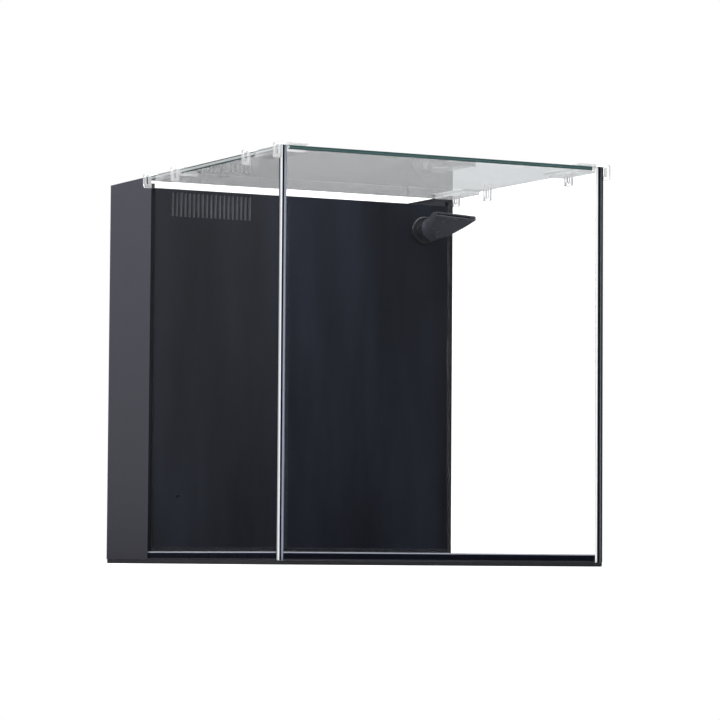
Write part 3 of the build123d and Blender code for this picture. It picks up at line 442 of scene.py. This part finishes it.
# Bond films: pressed thin and cloudy between the panes. Their colour bands are painted highlight and painted
# shade: painted shade where they lie over a pane's ground edge, and the same light and dark lines painted
# along the foot of the front corners
bondLook = {
    "color": (0.5, 0.52, 0.56), "roughness": 0.35, "ior": 1.41, "grainScale": 300, "grain": 0.1,
    "left": [(-0.175, (0.01, 0.01, 0.014)), (-0.1713, (0.01, 0.01, 0.014)), (-0.1709, (0.6, 0.65, 0.78)),
             (-0.1694, (0.6, 0.65, 0.78)), (-0.1691, (0.012, 0.01, 0.02)), (-0.169, (0.012, 0.01, 0.02))],
    "right": [(0.169, (0.95, 0.96, 0.97)), (0.1709, (0.9, 0.92, 0.93)), (0.1712, (0.016, 0.017, 0.02)),
              (0.1736, (0.016, 0.017, 0.02)), (0.1745, (0.3, 0.32, 0.34)), (0.175, (0.5, 0.52, 0.54))],
    "foot": [(0.004, (0.07, 0.07, 0.08)), (0.0052, (0.12, 0.12, 0.14)), (0.0057, (0.006, 0.008, 0.018)),
             (0.0107, (0.008, 0.01, 0.024)), (0.0111, (0.75, 0.77, 0.88)), (0.0125, (0.8, 0.82, 0.92))],
    "cornerFrom": 0.1689, "cornerBefore": -0.1935, "pipedTo": 0.171, "paintedPipedGlow": 0.5,
}


def bondMaterial(look):
    material, tree, shader = startMaterial("bond_silicone", look)
    place = partsOf(tree)
    onRight = mathOn(tree, "GREATER_THAN", place["X"], 0.0)
    # The side and foot bands are painted highlight and painted shade, not the silicone's own colour
    leftColors = bandOn(tree, place["X"], look["left"])
    rightColors = bandOn(tree, place["X"], look["right"])
    sides = colorMixOn(tree, onRight, leftColors, rightColors)
    outside = mathOn(tree, "GREATER_THAN", mathOn(tree, "ABSOLUTE", place["X"]), look["cornerFrom"])
    inFront = mathOn(tree, "LESS_THAN", place["Y"], look["cornerBefore"])
    awayFromCorner = mathOn(tree, "SUBTRACT", 1.0, mathOn(tree, "MULTIPLY", outside, inFront))
    colors = colorMixOn(tree, awayFromCorner, sides, bandOn(tree, place["Z"], look["foot"]))
    tree.links.new(colors, shader.inputs["Base Color"])
    grainOn(tree, shader, look)
    # Painted light: emission at the right pane's front end stands for the light that the pane carries along
    # inside itself
    inPane = mathOn(tree, "MULTIPLY", mathOn(tree, "LESS_THAN", place["X"], look["pipedTo"]),
                    mathOn(tree, "GREATER_THAN", place["X"], look["cornerFrom"]))
    shader.inputs["Emission Color"].default_value = (1, 1, 1, 1)
    paintedPipedGlow = mathOn(tree, "MULTIPLY", inPane, mathOn(tree, "MULTIPLY", inFront, look["paintedPipedGlow"]))
    tree.links.new(paintedPipedGlow, shader.inputs["Emission Strength"])
    return material


# Beads: clear silicone, cloudy along the leg wiped thin against the left pane
beadLook = {
    "color": (0.72, 0.76, 0.86), "roughness": 0.22, "ior": 1.41,
    "wipedFrom": -0.1688, "wipedTo": -0.1684, "wipedBefore": -0.189, "clearness": 0.985, "cloudiness": 0.45,
    "streakScale": 30, "streakDetail": 3.0, "streakStretch": (1, 1, 0.3),
    "streakFrom": 0.35, "streakTo": 0.65, "streakLeast": 0.6,
}


def beadMaterial(look):
    material, tree, shader = startMaterial("bead_silicone", look)
    place = partsOf(tree)
    wiped = mathOn(tree, "MULTIPLY", rampOn(tree, place["X"], look["wipedFrom"], look["wipedTo"], 1.0, 0.0),
                   mathOn(tree, "LESS_THAN", place["Y"], look["wipedBefore"]))
    streakNoise = noiseOn(tree, look["streakScale"], look["streakDetail"], stretch=look["streakStretch"])
    streaks = rampOn(tree, streakNoise, look["streakFrom"], look["streakTo"], look["streakLeast"], 1.0)
    cloudy = mathOn(tree, "MULTIPLY", wiped, streaks)
    clearPart = rampOn(tree, cloudy, 0.0, 1.0, look["clearness"], look["cloudiness"])
    seeThrough = tree.nodes.new("ShaderNodeBsdfTransparent").outputs[0]
    shadeWith(tree, shaderMixOn(tree, clearPart, shader.outputs[0], seeThrough))
    return material


# Ground pane edges: frosted, with painted light and an emission painted as light towards the left, painted
# shade towards the back and at the far end, green-grey along the top rim
edgeLook = {
    "color": (0.2, 0.34, 0.32), "roughness": 0.4, "grainScale": 900, "grain": 0.3, "rimFrom": 0.3892,
    "across": [(-0.1755, (0.95, 0.97, 1.0)), (-0.12, (0.85, 0.9, 0.92)), (0.12, (0.03, 0.034, 0.036)),
               (0.1755, (0.02, 0.022, 0.024))],
    "brightBefore": -0.1988, "dimFrom": -0.194, "dim": 0.22, "leftOf": -0.17,
    "paintedGlow": 0.3, "glowColor": (0.93, 0.96, 1.0),
}


def edgeMaterial(look):
    material, tree, shader = startMaterial("pane_edge", look)
    place = partsOf(tree)
    # Painted shade: the edge colour darkens from the front corner towards the back, and from painted light
    # on the left to painted shade on the right
    paintedShadeTowardsBack = rampOn(tree, place["Y"], look["brightBefore"], look["dimFrom"], 1.0, look["dim"])
    across = scaleOn(tree, bandOn(tree, place["X"], look["across"]), paintedShadeTowardsBack)
    onRim = mathOn(tree, "GREATER_THAN", place["Z"], look["rimFrom"])
    tree.links.new(colorMixOn(tree, onRim, across, (*look["color"], 1)), shader.inputs["Base Color"])
    grainOn(tree, shader, look)
    # Painted light: emission near the left front, where the left lamp would light the edge
    nearLeft = mathOn(tree, "LESS_THAN", place["X"], look["leftOf"])
    paintedGlow = rampOn(tree, place["Y"], look["brightBefore"], look["dimFrom"], look["paintedGlow"], 0.0)
    shader.inputs["Emission Color"].default_value = (*look["glowColor"], 1)
    tree.links.new(mathOn(tree, "MULTIPLY", nearLeft, paintedGlow), shader.inputs["Emission Strength"])
    return material


# The lid's ground edge: two tones of teal along the front, a white band between dark arrises on the left
lidEdgeLook = {
    "color": (0.1, 0.2, 0.2), "roughness": 0.25, "grainScale": 700, "grain": 0.2,
    "tones": [(0.3866, (0.1, 0.18, 0.18)), (0.3888, (0.16, 0.3, 0.3)), (0.3894, (0.06, 0.16, 0.145)),
              (0.391, (0.05, 0.13, 0.12))],
    "leftTones": [(0.3866, (0.03, 0.07, 0.07)), (0.3878, (0.035, 0.08, 0.08)), (0.3881, (0.88, 0.92, 0.92)),
                  (0.3902, (0.92, 0.95, 0.95)), (0.3904, (0.3, 0.32, 0.33)), (0.391, (0.3, 0.32, 0.33))],
    "leftOf": -0.15, "behind": -0.1927,
}


def lidEdgeMaterial(look):
    material, tree, shader = startMaterial("lid_edge", look)
    place = partsOf(tree)
    onLeft = mathOn(tree, "MULTIPLY", mathOn(tree, "LESS_THAN", place["X"], look["leftOf"]),
                    mathOn(tree, "GREATER_THAN", place["Y"], look["behind"]))
    frontTones = bandOn(tree, place["Z"], look["tones"])
    leftTones = bandOn(tree, place["Z"], look["leftTones"])
    tones = colorMixOn(tree, onLeft, frontTones, leftTones)
    tree.links.new(tones, shader.inputs["Base Color"])
    grainOn(tree, shader, look)
    return material


# Saw-cut acrylic: the walls of the weir slots carry the cutter's marks, and their pale grey is partly the
# matte cut and partly painted light
cutLook = {
    "color": (0.34, 0.35, 0.38), "roughness": 0.6, "dark": (0.26, 0.27, 0.3), "pale": (0.42, 0.43, 0.46),
    "markScale": 400, "markDetail": 3.0, "markStretch": (1, 1, 6), "markFrom": 0.3, "markTo": 0.7,
    "grainScale": 900, "grain": 0.4, "grainDepth": 0.0003, "grainStretch": (1, 1, 8),
}


def cutMaterial(look):
    material, tree, shader = startMaterial("cut_acrylic", look)
    marks = noiseOn(tree, look["markScale"], look["markDetail"], stretch=look["markStretch"])
    colors = colorsOn(tree, marks, look["markFrom"], look["markTo"], look["dark"], look["pale"])
    tree.links.new(colors, shader.inputs["Base Color"])
    grainOn(tree, shader, look)
    return material


makers = {"clear": clearMaterial, "solid": solidMaterial}
materials = {name: makers[finish["kind"]](name, finish) for name, finish in finishes.items()}
materials["screw_steel"].node_tree.nodes["Principled BSDF"].inputs["Metallic"].default_value = 1.0
paneEdge = edgeMaterial(edgeLook)
lidEdge = lidEdgeMaterial(lidEdgeLook)
for name, node in nodes.items():
    node.data.materials.clear()
    node.data.materials.append(materials[slotOf[name]])
# The nozzle takes the lighter black plastic, a painted reflection
nodes["flare_nozzle"].data.materials[0] = materials["nozzle_plastic_painted_light"]
nodes["pane_bonds"].data.materials[0] = bondMaterial(bondLook)
nodes["display_seams"].data.materials[0] = beadMaterial(beadLook)
print("materials made:", len(materials))

# Dressed pieces: a merged copy of each rigid CAD node, its flats joined and its edges broken by a small
# bevel, so that every moulding and cut sheet catches light along its corners
edgeBreaks = {
    "weir_partition": {"bevel": 0.00022, "segments": 2},
    "intake_baffle": {"bevel": 0.0003, "segments": 2},
    "pump_baffle": {"bevel": 0.0003, "segments": 2},
    "bulkhead_gasket": {"bevel": 0.0002, "segments": 2},
    "bulkhead": {"bevel": 0.0003, "segments": 3},
    "bulkhead_nut": {"bevel": 0.0005, "segments": 3},
    "ball_connector": {"bevel": 0.0004, "segments": 3},
    "flare_nozzle": {"bevel": 0.0007, "segments": 4},
    "return_elbow": {"bevel": 0.0008, "segments": 4},
    "riser_pipe": {"bevel": 0.0003, "segments": 2},
    "pump_housing": {"bevel": 0.0006, "segments": 3},
    "suction_feet": {"bevel": 0.0005, "segments": 3},
    "volute_cover": {"bevel": 0.0006, "segments": 3},
    "cover_screws": {"bevel": 0.00025, "segments": 3},
    "intake_strainer": {"bevel": 0.0003, "segments": 2},
    "flow_dial": {"bevel": 0.0003, "segments": 3},
    "cord_gland": {"bevel": 0.0005, "segments": 3},
    "pump_impeller": {"bevel": 0.0003, "segments": 2},
    "media_basket": {"bevel": 0.0004, "segments": 2},
    "basket_shelves": {"bevel": 0.0003, "segments": 2},
    "lid_holder_front_left": {"bevel": 0.00045, "segments": 3},
    "lid_holder_front_right": {"bevel": 0.00045, "segments": 3},
    "lid_holder_rear_left": {"bevel": 0.00045, "segments": 3},
    "lid_holder_rear_right": {"bevel": 0.00045, "segments": 3},
    "base_mat": {"bevel": 0.0006, "segments": 2},
}
merging = {"within": 0.00001, "flatWithin": 0.6}
smoothing = {"sharperThan": 38, "bevelOver": 32, "flatWeight": 50}


def mergedCopy(node):
    copy = bpy.data.objects.new(node + "_dressed", nodes[node].data.copy())
    scene.collection.objects.link(copy)
    pick(copy)
    bpy.ops.object.mode_set(mode="EDIT")
    bpy.ops.mesh.select_all(action="SELECT")
    bpy.ops.mesh.remove_doubles(threshold=merging["within"])
    bpy.ops.mesh.dissolve_limited(angle_limit=radians(merging["flatWithin"]))
    bpy.ops.object.mode_set(mode="OBJECT")
    return copy


def applyAll(piece):
    pick(piece)
    for modifier in list(piece.modifiers):
        bpy.ops.object.modifier_apply(modifier=modifier.name)


def breakEdges(piece, width, segments):
    bevel = piece.modifiers.new("brokenEdges", "BEVEL")
    bevel.width = width
    bevel.segments = segments
    bevel.limit_method = "ANGLE"
    bevel.angle_limit = radians(smoothing["bevelOver"])
    bevel.use_clamp_overlap = True
    bevel.harden_normals = False
    applyAll(piece)


def smoothOver(piece):
    pick(piece)
    bpy.ops.object.shade_smooth_by_angle(angle=radians(smoothing["sharperThan"]))


def keepFlats(piece):
    # Large flats keep their own normal, and the bevels turn from one to the next
    weighted = piece.modifiers.new("weightedNormals", "WEIGHTED_NORMAL")
    weighted.weight = smoothing["flatWeight"]
    weighted.keep_sharp = True
    applyAll(piece)


def standFor(piece, node):
    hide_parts(node)
    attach(piece, bodyOf[node])


dressedPieces = {}
for name, edge in edgeBreaks.items():
    piece = mergedCopy(name)
    breakEdges(piece, edge["bevel"], edge["segments"])
    smoothOver(piece)
    keepFlats(piece)
    standFor(piece, name)
    dressedPieces[name] = piece
print("dressed pieces:", len(dressedPieces))

# Panes and lid: dressed with a fine arris, and every face that doesn't look along the pane's thin direction
# in the material of its ground edges
paneArris = 0.0003
alongThin = 0.5
paneEdges = {
    "front_pane": {"thin": 1, "edge": paneEdge},
    "left_pane": {"thin": 0, "edge": paneEdge},
    "right_pane": {"thin": 0, "edge": paneEdge},
    "rear_pane": {"thin": 1, "edge": paneEdge},
    "lid_glass": {"thin": 2, "edge": lidEdge},
}
for name, pane in paneEdges.items():
    piece = mergedCopy(name)
    breakEdges(piece, paneArris, 1)
    pick(piece)
    bpy.ops.object.shade_flat()
    piece.data.materials.append(pane["edge"])
    for face in piece.data.polygons:
        if abs(face.normal[pane["thin"]]) < alongThin:
            face.material_index = 1
    standFor(piece, name)
print("panes dressed:", len(paneEdges))

# The walls of the weir slots show the cut, painted pale as painted light where they catch light
weir = {"xFrom": -0.165, "xTo": 0.05, "zFrom": 0.3502, "zTo": 0.3752, "sideOn": 0.7}
weirPiece = dressedPieces["weir_partition"]
weirPiece.data.materials.append(cutMaterial(cutLook))
for face in weirPiece.data.polygons:
    inSlots = weir["xFrom"] < face.center.x < weir["xTo"] and weir["zFrom"] < face.center.z < weir["zTo"]
    if inSlots and abs(face.normal.x) > weir["sideOn"]:
        face.material_index = 1

# Silicone beads keep their shape, with their hollow faces smoothed
clearBead = {"side": 0.16896, "front": -0.19396, "floor": 0.01204}
for name in ("display_seams", "partition_seams", "rear_seams", "baffle_seams"):
    piece = mergedCopy(name)
    smoothOver(piece)
    if name == "display_seams":
        for vertex in piece.data.vertices:  # a hair of air against the glass, so that light leaves each pane
            vertex.co.x = min(max(vertex.co.x, -clearBead["side"]), clearBead["side"])
            vertex.co.y = max(vertex.co.y, clearBead["front"])
            vertex.co.z = max(vertex.co.z, clearBead["floor"])
    standFor(piece, name)
print("silicone beads smoothed")

# Filter media: the floss pad and the carbon pouch are inflated as cloth inside the space of their solids
pads = {
    "floss_pad": {
        "voxel": 0.004, "shrink": 0.0035, "pressure": 4.0, "cap": 0.006, "fill": 0.5,
        "lumps": 0.0012, "lumpSize": 0.018,
    },
    "carbon_pouch": {
        "voxel": 0.004, "shrink": 0.004, "pressure": 4.0, "cap": 0.007, "fill": 0.8,
        "lumps": 0.0016, "lumpSize": 0.007,
    },
}
padEdge = 0.0003
clothRun = {"frames": 20, "quality": 4}


def cloudsNamed(name, size):
    clouds = bpy.data.textures.new(name, "CLOUDS")
    clouds.noise_scale = size
    clouds.noise_depth = 1
    return clouds


def displaceBy(piece, name, size, strength, middle):
    bumps = piece.modifiers.new(name, "DISPLACE")
    bumps.texture = cloudsNamed(name, size)
    bumps.texture_coords = "LOCAL"
    bumps.strength = strength
    bumps.mid_level = middle
    applyAll(piece)


def remeshAt(piece, voxel):
    remesh = piece.modifiers.new("remesh", "REMESH")
    remesh.mode = "VOXEL"
    remesh.voxel_size = voxel
    remesh.use_smooth_shade = True
    applyAll(piece)


def keepWithin(piece, low, high, margin):
    for vertex in piece.data.vertices:
        for axis in range(3):
            vertex.co[axis] = min(max(vertex.co[axis], low[axis] + margin), high[axis] - margin)


def swell(piece, pad):
    # Air pressure fills the cloth, and no point moves further than the pad's cap
    before = [vertex.co.copy() for vertex in piece.data.vertices]
    cloth = piece.modifiers.new("cloth", "CLOTH")
    cloth.settings.use_pressure = True
    cloth.settings.uniform_pressure_force = pad["pressure"]
    cloth.settings.effector_weights.gravity = 0.0
    cloth.settings.quality = clothRun["quality"]
    cloth.point_cache.frame_start = 1
    cloth.point_cache.frame_end = clothRun["frames"]
    for frameNumber in range(1, clothRun["frames"] + 1):
        scene.frame_set(frameNumber)
    applyAll(piece)
    for vertex, start in zip(piece.data.vertices, before):
        moved = vertex.co - start
        if moved.length > pad["cap"]:
            vertex.co = start + moved.normalized() * pad["cap"]
    scene.frame_set(1)


def padFrom(node, pad):
    piece = bpy.data.objects.new(node + "_filled", nodes[node].data.copy())
    scene.collection.objects.link(piece)
    low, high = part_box(node)
    for vertex in piece.data.vertices:
        for axis in range(3):
            middle = (low[axis] + high[axis]) / 2
            half = (high[axis] - low[axis]) / 2
            vertex.co[axis] = middle + (vertex.co[axis] - middle) * (half - pad["shrink"]) / half
    remeshAt(piece, pad["voxel"])
    swell(piece, pad)
    displaceBy(piece, node + "Lumps", pad["lumpSize"], pad["lumps"], 0.5)
    smooth = piece.modifiers.new("subdivision", "SUBSURF")
    smooth.levels = 1
    applyAll(piece)
    keepWithin(piece, low, high, padEdge)
    pick(piece)
    bpy.ops.object.shade_smooth()
    standFor(piece, node)


for name, pad in pads.items():
    padFrom(name, pad)
print("padded pieces:", len(pads))

# Bio block: sintered ceramic, its faces eaten by pores
bio = {"voxel": 0.0022, "pores": 0.0022, "poreSize": 0.0035, "waves": 0.0012, "waveSize": 0.02}
block = bpy.data.objects.new("bio_block_porous", nodes["bio_block"].data.copy())
scene.collection.objects.link(block)
low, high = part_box("bio_block")
remeshAt(block, bio["voxel"])
displaceBy(block, "bioWaves", bio["waveSize"], bio["waves"], 1.0)
displaceBy(block, "bioPores", bio["poreSize"], bio["pores"], 1.0)
keepWithin(block, low, high, 0.0)
pick(block)
bpy.ops.object.shade_smooth()
standFor(block, "bio_block")
print("bio block made")

# Floor: pale, lifted to white where the eye looks at it, straight or through glass, and dim in mirror images
floor = {
    "size": 14.0, "drop": 0.0001, "color": (0.5, 0.5, 0.51), "roughness": 0.9, "lift": 0.88,
    "mirrored": (0.05, 0.05, 0.055), "whiteFrom": 0.35, "whiteFull": 0.7,
}
bpy.ops.mesh.primitive_plane_add(size=floor["size"], location=(0, 0, -floor["drop"]))
floorObject = bpy.context.object
floorObject.name = "studioFloor"


def floorMaterial(look):
    material, tree, shader = startMaterial("studioFloor", look)
    looked = rayIs(tree, "Is Camera Ray", "Is Transmission Ray")
    shader.inputs["Emission Color"].default_value = (1, 1, 1, 1)
    tree.links.new(mathOn(tree, "MULTIPLY", looked, look["lift"]), shader.inputs["Emission Strength"])
    dim = tree.nodes.new("ShaderNodeBsdfPrincipled")
    dim.inputs["Base Color"].default_value = (*look["mirrored"], 1)
    dim.inputs["Roughness"].default_value = look["roughness"]
    dim.inputs["Emission Color"].default_value = (*studio["ambient"], 1)
    behindTank = dotOn(tree, coordinatesOn(tree), studio["backdropTowards"])
    white = rampOn(tree, behindTank, look["whiteFrom"], look["whiteFull"], 0.0, studio["mirroredWhite"])
    tree.links.new(white, dim.inputs["Emission Strength"])
    shadeWith(tree, shaderMixOn(tree, rayWasMirrored(tree), shader.outputs[0], dim.outputs[0]))
    return material


floorObject.data.materials.append(floorMaterial(floor))
